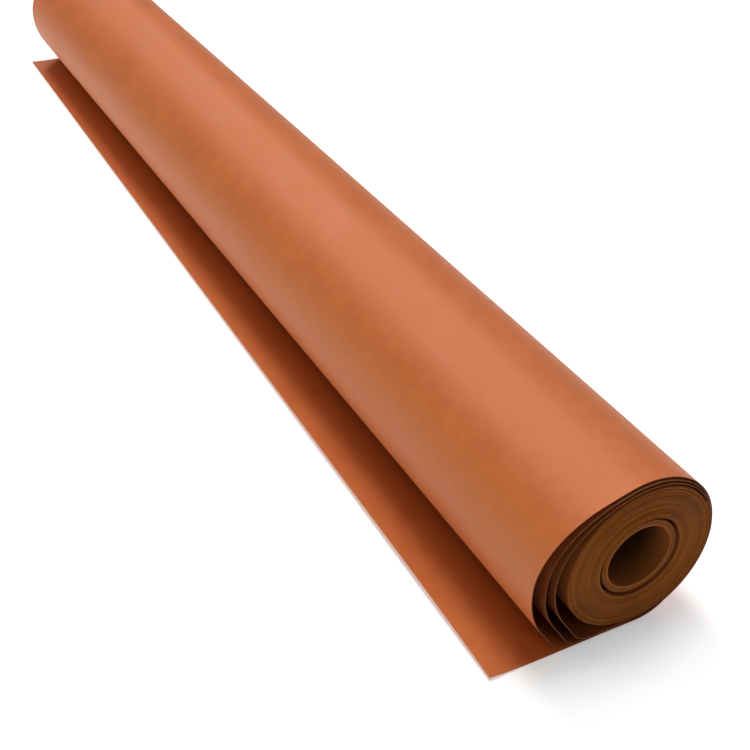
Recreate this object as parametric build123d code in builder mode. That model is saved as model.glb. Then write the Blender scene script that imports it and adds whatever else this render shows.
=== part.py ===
from build123d import *

import os
from math import cos, radians, sin

# Wide roll of copper foil sheet on a paperboard core. It lies on its loose outer turns, and its free tail is
# laid flat beside it.
#
# Frame: the roll's axis runs along Y, its near end faces -Y, the tail lies towards -X and +Z is up.
# The origin is on the surface that the roll lies on, at mid-length, straight below the roll's axis.

# Driving dimensions, in millimetres
sheet_width = 609.6  # 24 inch wide foil, measured along the roll
core_bore_radius = 12.7  # for a 1 inch spindle
core_wall = 2.4
core_clearance = 1.1  # the core is loose in the wound foil
pack_radius = 29.0  # tightly wound foil
core_inset = 0.8  # each end of the core stands back from the foil's ends
sheet = 0.4  # wall of one loose turn
turn_gap = 0.15  # between neighbouring loose turns where they lie closest
foot_gap = 0.4  # between the loose turns under the roll
pack_gap = 0.3  # between the innermost loose turn and the tight pack
axis_height = 32.3  # roll's axis above the surface
foot_right = 4.0  # the outer turn lies flat from the tail's bend to here
tail_bend = -27.5  # line where the tail comes out from under the roll
fold_gap = 0.4  # slot between neighbouring strips of the tail
end_slot = 0.45  # between the end of one loose turn and the start of the next
tail_folds = [tail_bend, -35.5, -43.0]  # lines along which the tail can curl
tail_edge_near = -55.5  # free edge of the tail, cut slightly out of square
tail_edge_far = -46.5

core_outer_radius = core_bore_radius + core_wall
pack_bore_radius = core_outer_radius + core_clearance
layer = sheet + turn_gap

# Loose turns from the outermost inwards: how slack each one is over and under the pack, how far it stands
# off on the tail's side, where it ends on the turn below, and how far its edge stands back from the pack's
loose_turns = {
    "outer_turn": {"slack": 1.6, "bulge": 11.5, "end": -20.0, "set_back": 1.2},
    "middle_turn": {"slack": 1.0, "bulge": 7.3, "end": -15.0, "set_back": 0.6},
    "inner_turn": {"slack": 0.4, "bulge": 4.2, "end": -9.0, "set_back": 0.2},
}
bend_radius = 8.0  # of the last bend, where a turn comes down to lie flat

# Angles around the roll's axis, in degrees from +X
snug_angle = 10  # the turns bear on the pack here
bulge_start = 105  # past the top they leave it
bulge_full = 177
first_free_angle = -60  # a turn has swung up from its foot to the roll's side
last_free_angle = 212  # from here it runs straight down to the last bend
angle_step = 8  # one arc of the cross-section
arc_shares = (0, 0.5, 1)  # start, middle and end of that arc
straight_down = 270
droop = 0.11  # share of the bulge lost by the last free angle


def end_plane(set_back):
    """Cross-section plane at mid-length, moved along the roll by a turn's set-back."""
    return Plane.XZ.offset(-set_back)


def stand_off(angle):
    """Share of its full bulge that a loose turn has at an angle: none over the top, less again low down."""
    share = min(max((angle - bulge_start) / (bulge_full - bulge_start), 0), 1)
    fallen = max((angle - bulge_full) / (last_free_angle - bulge_full), 0)
    return share * share * (3 - 2 * share) - droop * fallen * fallen


def turn_point(closest, turn, angle):
    """Point of a loose turn's cross-section at an angle around the roll's axis."""
    looseness = turn["slack"] * sin(radians(angle - snug_angle)) ** 2
    radius = closest + looseness + turn["bulge"] * stand_off(angle)
    return (radius * cos(radians(angle)), axis_height + radius * sin(radians(angle)))


def turn_face(order, turn, left_end, side):
    """One face of a loose turn's cross-section, half a sheet out from its middle (1) or in from it (-1)."""
    shift = side * sheet / 2
    level = sheet / 2 + order * (sheet + foot_gap) - shift
    landing_level = level + sheet + foot_gap
    closest = pack_radius + pack_gap + sheet / 2 + (len(loose_turns) - 1 - order) * layer + shift
    foot = Line((left_end, level), (foot_right, level))
    TangentArc(foot @ 1, turn_point(closest, turn, first_free_angle), tangent=(1, 0))
    for angle in range(first_free_angle, last_free_angle, angle_step):
        ThreePointArc(*[turn_point(closest, turn, angle + share * angle_step) for share in arc_shares])
    slope = straight_down - last_free_angle
    radius = bend_radius + shift
    start = turn_point(closest, turn, last_free_angle)
    fall = start[1] - landing_level - radius * (1 - cos(radians(slope)))
    down = PolarLine(start, fall / sin(radians(slope)), -slope)
    bend = JernArc(down @ 1, down % 1, radius, slope)
    return foot @ 0, Line(bend @ 1, (turn["end"], landing_level)) @ 1


def loose_turn(order, turn, left_end):
    """One loose turn: flat under the roll, up the right side, over the top and down the tail's side."""
    with BuildPart() as wrap:
        with BuildSketch(end_plane(turn["set_back"])):
            with BuildLine():
                outer_ends = turn_face(order, turn, left_end, 1)
                inner_ends = turn_face(order, turn, left_end, -1)
                for outer_end, inner_end in zip(outer_ends, inner_ends):
                    Line(outer_end, inner_end)
            make_face()
        extrude(amount=sheet_width / 2, both=True)
    return wrap


os.makedirs("parts", exist_ok=True)

# Paperboard core, open from end to end
with BuildPart() as core_tube:
    with BuildSketch(end_plane(0)):
        with Locations((0, axis_height)):
            Circle(core_outer_radius)
            Circle(core_bore_radius, mode=Mode.SUBTRACT)
    extrude(amount=sheet_width / 2 - core_inset, both=True)
core_tube.part.label = "core_tube"
export_step(core_tube.part, "parts/core_tube.step")

# Tightly wound foil, as one ring of the outer size of its turns
with BuildPart() as wound_pack:
    with BuildSketch(end_plane(0)):
        with Locations((0, axis_height)):
            Circle(pack_radius)
            Circle(pack_bore_radius, mode=Mode.SUBTRACT)
    extrude(amount=sheet_width / 2, both=True)
wound_pack.part.label = "wound_pack"
export_step(wound_pack.part, "parts/wound_pack.step")

# Loose turns around the pack, each one starting where the turn outside it ends
left_end = tail_bend + fold_gap / 2
for order, (name, turn) in enumerate(loose_turns.items()):
    wrap = loose_turn(order, turn, left_end)
    wrap.part.label = name
    export_step(wrap.part, f"parts/{name}.step")
    left_end = turn["end"] + end_slot

# Free tail, as strips side by side that bend along its fold lines; the last one ends at the cut edge
tail_names = ["tail_root", "tail_middle", "tail_edge"]
tail_set_back = loose_turns["outer_turn"]["set_back"]
near = tail_set_back - sheet_width / 2
far = tail_set_back + sheet_width / 2
for place, name in enumerate(tail_names):
    right = tail_folds[place] - fold_gap / 2
    if place + 1 < len(tail_folds):
        left_near = tail_folds[place + 1] + fold_gap / 2
        left_far = left_near
    else:
        left_near = tail_edge_near
        left_far = tail_edge_far
    with BuildPart() as strip:
        with BuildSketch(Plane.XY):
            with BuildLine():
                Polyline((right, near), (right, far), (left_far, far), (left_near, near), close=True)
            make_face()
        extrude(amount=sheet)
    strip.part.label = name
    export_step(strip.part, f"parts/{name}.step")
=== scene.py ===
from math import atan2, cos, hypot, pi, radians, sin

import bmesh
import bpy
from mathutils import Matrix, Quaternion, Vector, noise


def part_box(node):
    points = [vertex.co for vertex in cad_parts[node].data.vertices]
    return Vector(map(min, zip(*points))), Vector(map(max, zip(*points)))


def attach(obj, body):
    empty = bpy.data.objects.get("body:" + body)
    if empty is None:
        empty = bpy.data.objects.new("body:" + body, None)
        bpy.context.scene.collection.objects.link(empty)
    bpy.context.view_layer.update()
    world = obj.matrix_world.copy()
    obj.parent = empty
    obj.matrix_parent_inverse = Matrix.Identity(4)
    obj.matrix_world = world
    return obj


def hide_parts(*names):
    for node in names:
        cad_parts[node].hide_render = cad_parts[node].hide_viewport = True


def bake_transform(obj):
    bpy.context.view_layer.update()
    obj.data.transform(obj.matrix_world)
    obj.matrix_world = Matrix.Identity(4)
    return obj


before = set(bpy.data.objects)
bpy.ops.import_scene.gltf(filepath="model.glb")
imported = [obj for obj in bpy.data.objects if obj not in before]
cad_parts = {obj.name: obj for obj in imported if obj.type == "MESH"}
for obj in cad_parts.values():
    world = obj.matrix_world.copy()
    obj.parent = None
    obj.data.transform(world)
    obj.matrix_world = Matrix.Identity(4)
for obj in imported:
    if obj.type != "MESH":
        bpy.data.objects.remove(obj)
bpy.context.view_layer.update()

# ---------------------------------------------------------------------------------------------------------
# Bench, camera and light. The roll lies on a plain white bench top and is seen from above its near end, a
# little towards the tail. The strongest soft lights hang above and behind it, so its near end is in shade.
# Weaker ones fill in from the right, from the front and, low and warm, from the tail's side.
# ---------------------------------------------------------------------------------------------------------
pack_low, pack_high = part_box("wound_pack")
near_end = pack_low.y
far_end = pack_high.y
axis_height = (pack_low.z + pack_high.z) / 2

azimuth = radians(-28.31)
elevation = radians(35.13)
camera_roll = radians(1.14)
towards_camera = Vector((sin(azimuth) * cos(elevation), -cos(azimuth) * cos(elevation), sin(elevation)))
camera_data = bpy.data.cameras.new("camera")
camera_data.sensor_width = 36
camera_data.lens = 58.2
camera = bpy.data.objects.new("camera", camera_data)
camera.rotation_mode = "QUATERNION"
camera.rotation_quaternion = (-towards_camera).to_track_quat("-Z", "Y") @ Quaternion((0, 0, 1), camera_roll)
camera.location = (-0.2174, near_end - 0.2162, 0.3105)
bpy.context.scene.collection.objects.link(camera)
bpy.context.scene.camera = camera
bpy.context.scene.view_settings.view_transform = "Standard"


def soft_light(name, place, aim, width, length, power, colour):
    """A flat lamp with a diffusing front, turned to face a point."""
    light = bpy.data.lights.new(name, "AREA")
    light.shape = "RECTANGLE"
    light.size = width
    light.size_y = length
    light.energy = power
    light.color = colour
    lamp = bpy.data.objects.new(name, light)
    lamp.location = place
    lamp.rotation_mode = "QUATERNION"
    lamp.rotation_quaternion = (Vector(aim) - Vector(place)).to_track_quat("-Z", "Y")
    bpy.context.scene.collection.objects.link(lamp)


soft_light(
    "overhead_light",
    place=(0.16, 0.12, 2.1),
    aim=(0, 0, 0),
    width=1.0,
    length=0.9,
    power=25,
    colour=(1, 0.985, 0.965),
)
soft_light(
    "back_light",
    place=(0.22, 1.7, 1.8),
    aim=(0, 0, 0),
    width=0.6,
    length=1.2,
    power=16,
    colour=(1, 0.96, 0.95),
)
soft_light(
    "right_light",
    place=(1.3, 0.5, 1.5),
    aim=(0, 0, 0),
    width=0.6,
    length=1.0,
    power=4,
    colour=(1, 0.97, 0.93),
)
soft_light(
    "front_light",
    place=(-0.45, -1.35, 1.3),
    aim=(0, near_end, 0.03),
    width=0.5,
    length=0.5,
    power=2.4,
    colour=(1, 0.95, 0.88),
)
soft_light(
    "low_card",
    place=(-1.2, 0.6, 0.22),
    aim=(0, 0.15, 0.04),
    width=0.35,
    length=1.6,
    power=3.8,
    colour=(1, 0.96, 0.42),
)

world = bpy.data.worlds.new("studio")
world.use_nodes = True
soft_fill = world.node_tree.nodes["Background"]
soft_fill.inputs["Color"].default_value = (0.9, 0.95, 1, 1)
soft_fill.inputs["Strength"].default_value = 0.18
pale_wall = world.node_tree.nodes.new("ShaderNodeBackground")
pale_wall.inputs["Color"].default_value = (0.48, 0.49, 0.5, 1)
seen_directly = world.node_tree.nodes.new("ShaderNodeLightPath")
backdrop = world.node_tree.nodes.new("ShaderNodeMixShader")
world.node_tree.links.new(seen_directly.outputs["Is Camera Ray"], backdrop.inputs["Fac"])
world.node_tree.links.new(soft_fill.outputs["Background"], backdrop.inputs[1])
world.node_tree.links.new(pale_wall.outputs["Background"], backdrop.inputs[2])
world_surface = world.node_tree.nodes["World Output"].inputs["Surface"]
world.node_tree.links.new(backdrop.outputs["Shader"], world_surface)
bpy.context.scene.world = world

bench_half_width = 6
real_edge_angle = radians(35)


def new_piece(name, bm, materials):
    """Makes a finished object of a bmesh, smooth except along its real edges."""
    mesh = bpy.data.meshes.new(name)
    bm.to_mesh(mesh)
    bm.free()
    for material in materials:
        mesh.materials.append(material)
    mesh.shade_smooth()
    mesh.set_sharp_from_angle(angle=real_edge_angle)
    piece = bpy.data.objects.new(name, mesh)
    bpy.context.scene.collection.objects.link(piece)
    return piece


def new_material(name, **values):
    """A Principled material with these values on the shader's own sockets, and its node tree."""
    material = bpy.data.materials.new(name)
    material.use_nodes = True
    shader = material.node_tree.nodes["Principled BSDF"]
    for socket, value in values.items():
        shader.inputs[socket.replace("_", " ")].default_value = value
    return material, material.node_tree, shader


bench_white, tree, shader = new_material("bench_white", Roughness=0.9, Emission_Strength=0.33)
shader.inputs["Base Color"].default_value = (0.9, 0.905, 0.91, 1)
shader.inputs["Emission Color"].default_value = (0.96, 0.98, 1, 1)
bm = bmesh.new()
bmesh.ops.create_grid(bm, x_segments=1, y_segments=1, size=bench_half_width)
bench = new_piece("bench_top", bm, [bench_white])

# ---------------------------------------------------------------------------------------------------------
# Core. A tube of brown paperboard in four plies, each a strip wound in a helix edge to edge, one ply left-
# handed and the next right-handed. It is cut square at both ends and is loose in the foil.
# ---------------------------------------------------------------------------------------------------------
core_low, core_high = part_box("core_tube")
core_bore_radius = 0.0127
core_outer_radius = (core_high.x - core_low.x) / 2
core_plies = 4
ply_thickness = (core_outer_radius - core_bore_radius) / core_plies
ply_pitch = 0.058
ply_seam = 0.0004
glue_line = 0.00006
end_band_length = 0.014
ply_steps = 48
spare_winds = 2
board_relief = 0.0002


def mapped_noise(tree, vector, scale, detail=3, roughness=0.5, stretch=(1, 1, 1)):
    """A noise pattern on a position given in metres: scale counts its features in each metre."""
    mapping = tree.nodes.new("ShaderNodeMapping")
    mapping.inputs["Scale"].default_value = stretch
    tree.links.new(vector, mapping.inputs["Vector"])
    pattern = tree.nodes.new("ShaderNodeTexNoise")
    pattern.inputs["Scale"].default_value = scale
    pattern.inputs["Detail"].default_value = detail
    pattern.inputs["Roughness"].default_value = roughness
    tree.links.new(mapping.outputs["Vector"], pattern.inputs["Vector"])
    return pattern.outputs["Fac"]


def spread(tree, value, low, high, to_low=0.0, to_high=1.0):
    """Stretches the part of a pattern from low to high over a new range, smoothly."""
    node = tree.nodes.new("ShaderNodeMapRange")
    node.interpolation_type = "SMOOTHSTEP"
    node.inputs["From Min"].default_value = low
    node.inputs["From Max"].default_value = high
    node.inputs["To Min"].default_value = to_low
    node.inputs["To Max"].default_value = to_high
    tree.links.new(value, node.inputs["Value"])
    return node.outputs["Result"]


def combine(tree, operation, first, second):
    """Arithmetic on two patterns, or on a pattern and a number."""
    node = tree.nodes.new("ShaderNodeMath")
    node.operation = operation
    for socket, value in zip(node.inputs, (first, second)):
        if isinstance(value, (int, float)):
            socket.default_value = value
        else:
            tree.links.new(value, socket)
    return node.outputs["Value"]


def mix_colours(tree, share, first, second):
    """Two colours mixed by a pattern or a number. A colour is another node's output or three numbers."""
    node = tree.nodes.new("ShaderNodeMix")
    node.data_type = "RGBA"
    colour_a = next(socket for socket in node.inputs if socket.name == "A" and socket.type == "RGBA")
    colour_b = next(socket for socket in node.inputs if socket.name == "B" and socket.type == "RGBA")
    factor = next(socket for socket in node.inputs if socket.name == "Factor" and socket.type == "VALUE")
    for socket, value in ((colour_a, first), (colour_b, second)):
        if isinstance(value, tuple):
            socket.default_value = (*value, 1)
        else:
            tree.links.new(value, socket)
    if isinstance(share, (int, float)):
        factor.default_value = share
    else:
        tree.links.new(share, factor)
    return next(socket for socket in node.outputs if socket.type == "RGBA")


def raise_surface(tree, shader, height, distance):
    """Feeds a height pattern to the shader's normal, with distance as the height of its full range."""
    bump = tree.nodes.new("ShaderNodeBump")
    bump.inputs["Distance"].default_value = distance
    tree.links.new(height, bump.inputs["Height"])
    tree.links.new(bump.outputs["Normal"], shader.inputs["Normal"])


def board_material(name, pale, brown, stain, end_band_wear_and_light):
    """Uncoated board: short fibres mostly along the tube, blotches, end bands worn outside and painted light
    in the bore.
    """
    material, tree, shader = new_material(name, Specular_IOR_Level=0.1)
    place = tree.nodes.new("ShaderNodeTexCoord").outputs["Object"]
    fibres = mapped_noise(tree, place, scale=900, detail=4, stretch=(1, 0.25, 1))
    blotches = mapped_noise(tree, place, scale=70)
    board = mix_colours(tree, spread(tree, fibres, 0.3, 0.75), brown, pale)
    board = mix_colours(tree, spread(tree, blotches, 0.35, 0.65, 0, 0.45), board, stain)
    split = tree.nodes.new("ShaderNodeSeparateXYZ")
    tree.links.new(place, split.inputs["Vector"])
    from_middle = combine(tree, "ABSOLUTE", split.outputs["Y"], 0)
    # A band at each end: wear on the outer board, painted light at the mouths of the bore.
    near_the_ends = spread(tree, from_middle, core_high.y - end_band_length, core_high.y, 0, 0.85)
    board = mix_colours(tree, near_the_ends, board, end_band_wear_and_light)
    tree.links.new(board, shader.inputs["Base Color"])
    tree.links.new(spread(tree, fibres, 0.3, 0.7, 0.78, 0.95), shader.inputs["Roughness"])
    raise_surface(tree, shader, fibres, board_relief)
    return material


core_board = board_material(
    "core_board",
    pale=(0.22, 0.07, 0.011),
    brown=(0.15, 0.045, 0.007),
    stain=(0.12, 0.036, 0.006),
    end_band_wear_and_light=(0.2, 0.062, 0.009),
)
# The innermost ply: its dark tones are painted shade deep in the bore, its lighter ends painted light at its
# mouths.
bore_liner_painted_shade_and_light = board_material(
    "bore_liner_painted_shade_and_light",
    pale=(0.09, 0.036, 0.012),
    brown=(0.06, 0.025, 0.01),
    stain=(0.05, 0.02, 0.008),
    end_band_wear_and_light=(0.36, 0.11, 0.022),
)

core_bm = bmesh.new()
for ply in range(core_plies):
    ply_bm = bmesh.new()
    inner = core_bore_radius + ply * ply_thickness
    outer = inner + ply_thickness - glue_line
    start = core_low.y - ply_pitch * (1 + ply / core_plies)
    corners = [
        ply_bm.verts.new((radius, start + along, axis_height))
        for radius, along in (
            (inner, 0),
            (outer, 0),
            (outer, ply_pitch - ply_seam),
            (inner, ply_pitch - ply_seam),
        )
    ]
    edges = [ply_bm.edges.new((corners[i - 1], corners[i])) for i in range(len(corners))]
    winds = int((core_high.y - start) / ply_pitch) + spare_winds
    bmesh.ops.spin(
        ply_bm,
        geom=corners + edges,
        cent=(0, 0, axis_height),
        axis=(0, 1 if ply % 2 else -1, 0),
        dvec=(0, ply_pitch / ply_steps, 0),
        angle=2 * pi * winds,
        steps=ply_steps * winds,
        use_merge=False,
    )
    for cut_at, outwards in ((core_low.y, -1), (core_high.y, 1)):
        cut = bmesh.ops.bisect_plane(
            ply_bm,
            geom=ply_bm.verts[:] + ply_bm.edges[:] + ply_bm.faces[:],
            plane_co=(0, cut_at, 0),
            plane_no=(0, outwards, 0),
            clear_outer=True,
        )
        cut_edges = [edge for edge in cut["geom_cut"] if isinstance(edge, bmesh.types.BMEdge)]
        bmesh.ops.edgeloop_fill(ply_bm, edges=cut_edges)
    bmesh.ops.recalc_face_normals(ply_bm, faces=ply_bm.faces[:])
    for face in ply_bm.faces:
        face.material_index = 1 if ply == 0 else 0
    ply_mesh = bpy.data.meshes.new("ply")
    ply_bm.to_mesh(ply_mesh)
    ply_bm.free()
    core_bm.from_mesh(ply_mesh)
    bpy.data.meshes.remove(ply_mesh)
paperboard_core = new_piece("paperboard_core", core_bm, [core_board, bore_liner_painted_shade_and_light])
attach(paperboard_core, "core")
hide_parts("core_tube")

# ---------------------------------------------------------------------------------------------------------
# Foil surface. Thin rolled copper foil, the same on both faces, with fine grain, faint cloudy mottling and
# very faint lines along the feed direction. Its finish is satin. Patterns lie on the sheet as it was cut.
# ---------------------------------------------------------------------------------------------------------
foil_relief = 0.00015
cut_relief = 0.0001
speckle_brown = (0.25, 0.08, 0.02)
copper_gleam = (1, 0.8, 0.66, 1)

foil_surface = bpy.data.node_groups.new("foil_surface", "ShaderNodeTree")
for name, direction, kind in (
    ("Flat Place", "INPUT", "NodeSocketVector"),
    ("Bright", "INPUT", "NodeSocketColor"),
    ("Deep", "INPUT", "NodeSocketColor"),
    ("Colour", "OUTPUT", "NodeSocketColor"),
    ("Roughness", "OUTPUT", "NodeSocketFloat"),
    ("Height", "OUTPUT", "NodeSocketFloat"),
):
    foil_surface.interface.new_socket(name, in_out=direction, socket_type=kind)
given = foil_surface.nodes.new("NodeGroupInput").outputs
wanted = foil_surface.nodes.new("NodeGroupOutput").inputs
clouds = mapped_noise(foil_surface, given["Flat Place"], scale=26, roughness=0.55)
mottle = mapped_noise(foil_surface, given["Flat Place"], scale=150, detail=4, roughness=0.6)
grain = mapped_noise(foil_surface, given["Flat Place"], scale=850, detail=4, roughness=0.6)
feed_lines = mapped_noise(foil_surface, given["Flat Place"], scale=260, stretch=(0.03, 1, 1))
tone = combine(
    foil_surface,
    "ADD",
    spread(foil_surface, clouds, 0.25, 0.75, 0.15, 0.45),
    spread(foil_surface, mottle, 0.25, 0.75, 0.05, 0.45),
)
colour = mix_colours(foil_surface, tone, given["Deep"], given["Bright"])
speckle = spread(foil_surface, grain, 0.5, 0.75, 0, 0.2)
colour = mix_colours(foil_surface, speckle, colour, speckle_brown)
foil_surface.links.new(colour, wanted["Colour"])
finish = combine(
    foil_surface,
    "ADD",
    spread(foil_surface, mottle, 0.3, 0.7, -0.03, 0.03),
    spread(foil_surface, clouds, 0.3, 0.7, 0.5, 0.57),
)
foil_surface.links.new(finish, wanted["Roughness"])
grain_relief = combine(foil_surface, "MULTIPLY", grain, 0.2)
mottle_relief = combine(foil_surface, "MULTIPLY", mottle, 0.5)
line_relief = combine(foil_surface, "MULTIPLY", feed_lines, 0.1)
relief = combine(foil_surface, "ADD", combine(foil_surface, "ADD", grain_relief, mottle_relief), line_relief)
foil_surface.links.new(relief, wanted["Height"])


def foil_material(name, bright, deep, relief_height, **values):
    """Foil with its own two tones, its patterns laid out on the sheet's flat cut."""
    material, tree, shader = new_material(name, **values)
    flat_place = tree.nodes.new("ShaderNodeUVMap")
    flat_place.uv_map = "flat_cut"
    surface = tree.nodes.new("ShaderNodeGroup")
    surface.node_tree = foil_surface
    surface.inputs["Bright"].default_value = (*bright, 1)
    surface.inputs["Deep"].default_value = (*deep, 1)
    shader.inputs["Specular Tint"].default_value = copper_gleam
    tree.links.new(flat_place.outputs["UV"], surface.inputs["Flat Place"])
    tree.links.new(surface.outputs["Colour"], shader.inputs["Base Color"])
    tree.links.new(surface.outputs["Roughness"], shader.inputs["Roughness"])
    raise_surface(tree, shader, surface.outputs["Height"], relief_height)
    return material


copper_foil = foil_material(
    "copper_foil",
    bright=(0.60, 0.156, 0.036),
    deep=(0.49, 0.112, 0.023),
    relief_height=foil_relief,
    Metallic=0.1,
    Specular_IOR_Level=0.7,
)
# A darker copy of the foil: painted shade on turns that lie under the outer turn and in the gaps between
# turns.
painted_shade_foil = foil_material(
    "painted_shade_foil",
    bright=(0.26, 0.07, 0.016),
    deep=(0.17, 0.042, 0.009),
    relief_height=foil_relief,
    Specular_IOR_Level=0.3,
)
# A pale copy of the cut edge for the tail: a painted highlight along an edge that catches the light.
painted_highlight_cut = foil_material(
    "painted_highlight_cut",
    bright=(0.62, 0.33, 0.18),
    deep=(0.5, 0.24, 0.11),
    relief_height=cut_relief,
    Specular_IOR_Level=0.2,
)
# A dark copy of the cut edge for the loose turns: painted shade on edges that sit in shade at the roll's
# ends.
painted_shade_cut = foil_material(
    "painted_shade_cut",
    bright=(0.2, 0.062, 0.014),
    deep=(0.12, 0.034, 0.008),
    relief_height=cut_relief,
    Specular_IOR_Level=0.1,
)

# ---------------------------------------------------------------------------------------------------------
# Tight turns. Over a hundred turns of the one foil sheet, wound hard in a spiral. Its edges show as fine
# ridges on both end faces, in faint bands where the turns have crept a little along the roll.
# ---------------------------------------------------------------------------------------------------------
pack_radius = (pack_high.x - pack_low.x) / 2
pack_bore_radius = 0.0162
sheet_pitch = 0.00012
tight_turns = round((pack_radius - pack_bore_radius) / sheet_pitch) - 1
ridge_corners = ((0.0, -0.00012), (0.22, 0.0), (0.78, 0.0))
pack_steps = 72
merge_distance = 1e-7
creep_height = 0.0006
slow_creep = 0.09
quick_creep = 0.45
pale_ring_start = 0.0005
pale_ring_end = 0.0015
ridge_relief = 0.0001
# The end faces' browns are darker than the foil's, in part painted shade on the roll's ends; ridge_glint is
# a painted glint on the fine rings.
edge_brown = (0.22, 0.064, 0.007)
edge_copper = (0.31, 0.092, 0.010)
ridge_glint = (0.36, 0.115, 0.018)
soiled_brown = (0.14, 0.045, 0.01)
pale_ring = (0.42, 0.15, 0.03)


def edge_creep(turn, end):
    """How far the sheet's edge stands back from the end of the roll at a turn of the spiral, in metres."""
    slow = noise.noise(Vector((turn * slow_creep, end * 7.3, 2.1)))
    quick = noise.noise(Vector((turn * quick_creep, end * 3.1, 9.4)))
    return creep_height * min(max(0.45 + 0.5 * slow + 0.35 * quick, 0), 1)


def pack_profile():
    """The spiral's section, round one closed loop: (turn, share of a turn, depth below the edge, end)."""
    ridges = [(turn, share, depth) for turn in range(tight_turns) for share, depth in ridge_corners]
    ridges.append((tight_turns, 0.0, ridge_corners[0][1]))
    near = [(turn, share, depth, -1) for turn, share, depth in ridges]
    return near + [(turn, share, depth, 1) for turn, share, depth in reversed(ridges)]


def sheet_grid(columns, rows, place, flat_place, finish):
    """A sheet of columns and rows: its cut is laid out while it is flat, then each corner is placed."""
    bm = bmesh.new()
    bmesh.ops.create_grid(bm, x_segments=columns, y_segments=rows, size=0.5)
    flat_cut = bm.loops.layers.uv.new("flat_cut")
    for face in bm.faces:
        face.material_index = finish(int((face.calc_center_median().x + 0.5) * columns))
        for loop in face.loops:
            loop[flat_cut].uv = flat_place(round((loop.vert.co.x + 0.5) * columns), loop.vert.co.y + 0.5)
    for vert in bm.verts:
        vert.co = place(round((vert.co.x + 0.5) * columns), vert.co.y + 0.5)
    return bm


profile = pack_profile()
profile.append(profile[0])


def pack_corner(column, around):
    """A corner of the wound sheet: once round, each turn's start meets the end of the one inside it."""
    turn, share, depth, end = profile[column]
    wound = turn + share + around
    radius = pack_bore_radius + wound * sheet_pitch
    angle = 2 * pi * around
    along = (near_end if end < 0 else far_end) - end * (edge_creep(wound, end) - depth)
    return (radius * cos(angle), along, axis_height + radius * sin(angle))


def pack_flat_place(column, around):
    """Place on the flat sheet of a corner of the innermost or outermost turn's face."""
    return (2 * pi * pack_radius * around, 0 if profile[column][3] < 0 else far_end - near_end)


def pack_finish(column):
    """Darker foil, a painted shade, on the two faces that run the length of the roll, and stacked edges on
    its ends.
    """
    return 1 if profile[column][3] != profile[column + 1][3] else 0


pack_bm = sheet_grid(len(profile) - 1, pack_steps, pack_corner, pack_flat_place, pack_finish)
bmesh.ops.remove_doubles(pack_bm, verts=pack_bm.verts[:], dist=merge_distance)
bmesh.ops.holes_fill(pack_bm, edges=[edge for edge in pack_bm.edges if edge.is_boundary], sides=0)
bmesh.ops.recalc_face_normals(pack_bm, faces=pack_bm.faces[:])

stacked_edges, tree, shader = new_material("stacked_edges", Specular_IOR_Level=0.08)
place = tree.nodes.new("ShaderNodeTexCoord").outputs["Object"]
split = tree.nodes.new("ShaderNodeSeparateXYZ")
tree.links.new(place, split.inputs["Vector"])
height_above_axis = combine(tree, "SUBTRACT", split.outputs["Z"], axis_height)
radius_squared = combine(
    tree,
    "ADD",
    combine(tree, "MULTIPLY", split.outputs["X"], split.outputs["X"]),
    combine(tree, "MULTIPLY", height_above_axis, height_above_axis),
)
radius = combine(tree, "POWER", radius_squared, 0.5)
ring_place = tree.nodes.new("ShaderNodeCombineXYZ")
tree.links.new(radius, ring_place.inputs["X"])
wide_rings = mapped_noise(tree, ring_place.outputs["Vector"], scale=420, detail=2)
fine_rings = mapped_noise(tree, ring_place.outputs["Vector"], scale=2600, detail=2)
soiling = mapped_noise(tree, place, scale=160, detail=4)
edge_colour = mix_colours(tree, spread(tree, wide_rings, 0.35, 0.65), edge_brown, edge_copper)
edge_colour = mix_colours(tree, spread(tree, fine_rings, 0.4, 0.75, 0, 0.5), edge_colour, ridge_glint)
edge_colour = mix_colours(tree, spread(tree, soiling, 0.45, 0.7, 0, 0.25), edge_colour, soiled_brown)
ring_radii = (pack_bore_radius + pale_ring_start, pack_bore_radius + pale_ring_end)
inner_turns = spread(tree, radius, *ring_radii, 0.5, 0)
edge_colour = mix_colours(tree, inner_turns, edge_colour, pale_ring)
tree.links.new(edge_colour, shader.inputs["Base Color"])
tree.links.new(spread(tree, fine_rings, 0.3, 0.7, 0.5, 0.68), shader.inputs["Roughness"])
raise_surface(tree, shader, fine_rings, ridge_relief)

# The faces along the roll take the darker foil: painted shade in the gap under the loose turns.
tight_roll = new_piece("tight_turns", pack_bm, [stacked_edges, painted_shade_foil])
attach(tight_roll, "pack")
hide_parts("wound_pack")

# ---------------------------------------------------------------------------------------------------------
# Loose turns. The outer three turns have sprung open on the tail's side. They are one continuous sheet: from
# the tail under the roll, up the right side, over the top, down, and under again on itself, three times.
# ---------------------------------------------------------------------------------------------------------
sheet = 0.0003
cad_sheet = 0.0004
foot_gap = 0.0004
turn_gap = 0.00015
pack_gap = 0.0003
foot_right = 0.004
bend_radius = 0.008
snug_angle = 10
bulge_start = 105
bulge_full = 177
first_free_angle = -60
last_free_angle = 212
droop = 0.11
loose_turns = (
    {"slack": 0.0016, "bulge": 0.0115, "end": -0.020, "set_back": 0.0012},
    {"slack": 0.0010, "bulge": 0.0073, "end": -0.015, "set_back": 0.0006},
    {"slack": 0.0004, "bulge": 0.0042, "end": -0.009, "set_back": 0.0002},
)
sheet_start = -0.021
far_slack_share = 0.25
far_bulge_share = 0.93
foot_points = 8
rise_points = 10
free_step = 4
fall_points = 4
bend_points = 10
landing_points = 4
closing_points = 8
closing_angles = range(-90, 31, 5)
closing_gap = 0.00003
closing_set_back = 0.0001


def stand_off(angle):
    """Share of its full bulge that a loose turn has at an angle: none over the top, less again low down."""
    share = min(max((angle - bulge_start) / (bulge_full - bulge_start), 0), 1)
    fallen = max((angle - bulge_full) / (last_free_angle - bulge_full), 0)
    return share * share * (3 - 2 * share) - droop * fallen * fallen


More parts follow.
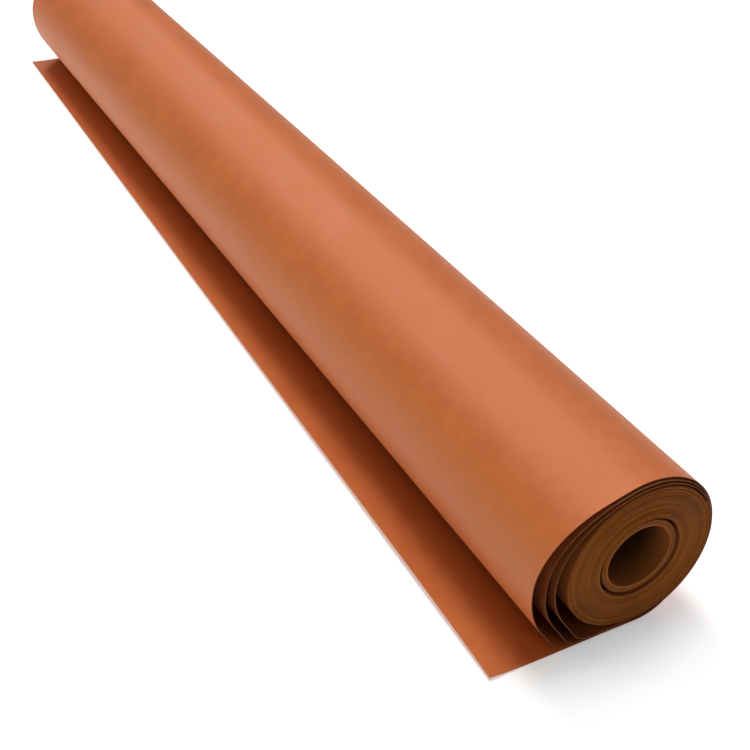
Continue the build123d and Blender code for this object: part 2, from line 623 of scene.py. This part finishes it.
def turn_section(order, turn, start, slack_share, bulge_share):
    """Middle line of one loose turn as (x, z) points, from the start of its foot to where it lands again."""
    level = cad_sheet / 2 + order * (cad_sheet + foot_gap)
    landing_level = level + cad_sheet + foot_gap
    turns_inside = len(loose_turns) - 1 - order
    closest = pack_radius + pack_gap + cad_sheet / 2 + turns_inside * (cad_sheet + turn_gap)

    def turn_point(angle):
        looseness = turn["slack"] * slack_share * sin(radians(angle - snug_angle)) ** 2
        radius = closest + looseness + turn["bulge"] * bulge_share * stand_off(angle)
        return radius * cos(radians(angle)), axis_height + radius * sin(radians(angle))

    points = [(start + (foot_right - start) * i / foot_points, level) for i in range(foot_points)]
    right, top = turn_point(first_free_angle)
    rise_radius = ((right - foot_right) ** 2 + (top - level) ** 2) / (2 * (top - level))
    rise = pi / 2 + atan2(top - level - rise_radius, right - foot_right)
    for i in range(rise_points):
        angle = rise * i / rise_points - pi / 2
        points.append((foot_right + rise_radius * cos(angle), level + rise_radius * (1 + sin(angle))))
    points += [turn_point(angle) for angle in range(first_free_angle, last_free_angle, free_step)]
    slope = radians(270 - last_free_angle)
    left, height = turn_point(last_free_angle)
    fall = height - landing_level - bend_radius * (1 - cos(slope))
    run = fall / sin(slope)
    for i in range(fall_points):
        points.append((left + run * cos(slope) * i / fall_points, height - fall * i / fall_points))
    bend_left = left + run * cos(slope)
    for i in range(bend_points):
        turned = slope * (1 - i / bend_points)
        bend_x = bend_left + bend_radius * (sin(slope) - sin(turned))
        points.append((bend_x, landing_level + bend_radius * (1 - cos(turned))))
    landed = bend_left + bend_radius * sin(slope)
    for i in range(landing_points):
        points.append((landed + (turn["end"] - landed) * i / landing_points, landing_level))
    return points


def whole_section(slack_share, bulge_share):
    """Middle line of the three loose turns one after the other, and of the start of the tight turns."""
    points = []
    start = sheet_start
    for order, turn in enumerate(loose_turns):
        points += turn_section(order, turn, start, slack_share, bulge_share)
        start = turn["end"]
    last_level = cad_sheet / 2 + len(loose_turns) * (cad_sheet + foot_gap)
    meeting = pack_radius + sheet / 2 + closing_gap
    rise = axis_height - meeting - last_level
    for i in range(closing_points):
        share = i / closing_points
        points.append((start * (1 - share), last_level + rise * share * share * (3 - 2 * share)))
    points += [
        (meeting * cos(radians(angle)), axis_height + meeting * sin(radians(angle)))
        for angle in closing_angles
    ]
    return points


near_section = whole_section(1, 1)
far_section = whole_section(far_slack_share, far_bulge_share)
sheet_rows = 72
sheet_width = far_end - near_end
turn_columns = len(turn_section(0, loose_turns[0], sheet_start, 1, 1))
first_free_column = foot_points + rise_points
last_free_column = 80
sheet_waves = 22
roll_waves = 14
snug_wave = 0.00003
free_wave = 0.0004
sheet_flutters = 90
roll_flutters = 40
flutter_height = 0.00006
thickness_margin = 1.2


def lengths_along(points):
    """Distance along a line of points, from its start to each of them."""
    lengths = [0.0]
    for (x0, z0), (x1, z1) in zip(points, points[1:]):
        lengths.append(lengths[-1] + hypot(x1 - x0, z1 - z0))
    return lengths


near_lengths = lengths_along(near_section)
set_backs = [turn["set_back"] for turn in loose_turns] + [closing_set_back]


def set_back_at(column):
    """How far the sheet's near edge stands back, creeping from one turn's to the next's under the roll."""
    order, place = divmod(column, turn_columns)
    order = min(order, len(loose_turns))
    before = set_backs[max(order - 1, 0)]
    share = min(place / foot_points, 1)
    return before + (set_backs[order] - before) * share * share * (3 - 2 * share)


def loose_corner(column, along):
    """A corner of the sheet once it is wound, a little tighter towards the far end and slightly wavy."""
    x = near_section[column][0] * (1 - along) + far_section[column][0] * along
    z = near_section[column][1] * (1 - along) + far_section[column][1] * along
    y = near_end + set_back_at(column) + along * (far_end - near_end)
    order, place = divmod(column, turn_columns)
    across, above = x, z - axis_height
    distance = hypot(across, above)
    angle = (atan2(above, across) * 180 / pi + 90) % 360 - 90
    if first_free_column <= place < last_free_column and order < len(loose_turns):
        free = min(max(stand_off(angle), 0), 1)
        wave = noise.noise(Vector((near_lengths[column] * sheet_waves, y * roll_waves, 5.7)))
        distance += wave * (snug_wave + free_wave * free)
        x, z = distance * cos(radians(angle)), axis_height + distance * sin(radians(angle))
    ripple = noise.noise(Vector((near_lengths[column] * sheet_flutters, along * roll_flutters, 1.3)))
    flutter = flutter_height * (1 + ripple)
    return (x, y + flutter * (1 - 2 * along), z)


def sheet_piece(name, lengths, start_length, place, materials, painted_shade_from):
    """A stretch of the sheet, given its thickness. Its cut edges are the second of its materials."""

    def flat_place(column, along):
        """Place of a corner on the whole sheet as it was cut."""
        return (start_length + lengths[column], along * sheet_width)

    def finish(column):
        """The foil's finish in a column: the darker foil, a painted shade, where the sheet lies under its
        outer turn.
        """
        return 2 if column >= painted_shade_from else 0

    bm = sheet_grid(len(lengths) - 1, sheet_rows, place, flat_place, finish)
    bm.normal_update()
    for vert in bm.verts:
        vert.co += vert.normal * sheet / 2
    bmesh.ops.solidify(bm, geom=bm.faces[:], thickness=sheet)
    for face in bm.faces:
        if min(edge.calc_length() for edge in face.edges) < sheet * thickness_margin:
            face.material_index = 1
    bmesh.ops.recalc_face_normals(bm, faces=bm.faces[:])
    return new_piece(name, bm, materials)


# Its cut edges and the turns under the outer one take darker copies of the foil: painted shade.
loose_finishes = [copper_foil, painted_shade_cut, painted_shade_foil]
loose_sheet = sheet_piece("loose_turns_sheet", near_lengths, 0, loose_corner, loose_finishes, turn_columns)
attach(loose_sheet, "loose_turns")
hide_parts("outer_turn", "middle_turn", "inner_turn")

# ---------------------------------------------------------------------------------------------------------
# Tail. The sheet's free end, which lies flat on the bench at the roll's left. Its edge is cut out of square
# and stands a little off the bench, least at the near corner. It is made as three strips.
# ---------------------------------------------------------------------------------------------------------
edge_margin = 0.00004
tail_edge_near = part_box("tail_edge")[0].x + edge_margin
tail_edge_far = -0.0465
tail_level = 0.0002
lift_start = -0.036
lift_run = 0.0195
edge_lift = 0.0024
steady_lift = 0.6
rippled_lift = 0.6
edge_ripples = 9
corner_drop = 0.0008
corner_share = 0.05
strip_width = 0.0101
stretch_ends = (sheet_start, sheet_start - strip_width, sheet_start - 2 * strip_width, tail_edge_near)
tail_columns = 10
tail_names = ("tail_root_sheet", "tail_middle_sheet", "tail_edge_sheet")
tail_nodes = ("tail_root", "tail_middle", "tail_edge")
# The tail's cut edge is painted pale: a painted highlight.
tail_finishes = [copper_foil, painted_highlight_cut]


def tail_rise(x, along):
    """Height of the tail above lying flat: it rises towards its free edge, least at the near corner."""
    out = min(max((lift_start - x) / lift_run, 0), 1)
    near_corner = max(1 - along / corner_share, 0)
    ripple = 0.5 + 0.5 * noise.noise(Vector((along * edge_ripples, 3.3, 0.7)))
    lift = edge_lift * (steady_lift + rippled_lift * ripple)
    return out * out * (lift - corner_drop * near_corner * near_corner)


for order, name in enumerate(tail_names):
    right, left = stretch_ends[order], stretch_ends[order + 1]

    def tail_corner(column, along):
        """A corner of one stretch of the tail. Its left side is the cut edge only on the last stretch."""
        share = column / tail_columns
        edge_x = left
        if order == len(tail_names) - 1:
            edge_x = tail_edge_near + (tail_edge_far - tail_edge_near) * along
        x = right + (edge_x - right) * share
        y = near_end + set_backs[0] + along * sheet_width
        return (x, y, tail_level + tail_rise(x, along))

    lengths = [-(right - left) * i / tail_columns for i in range(tail_columns + 1)]
    stretch = sheet_piece(name, lengths, right - sheet_start, tail_corner, tail_finishes, len(lengths))
    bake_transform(stretch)
    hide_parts(tail_nodes[order])
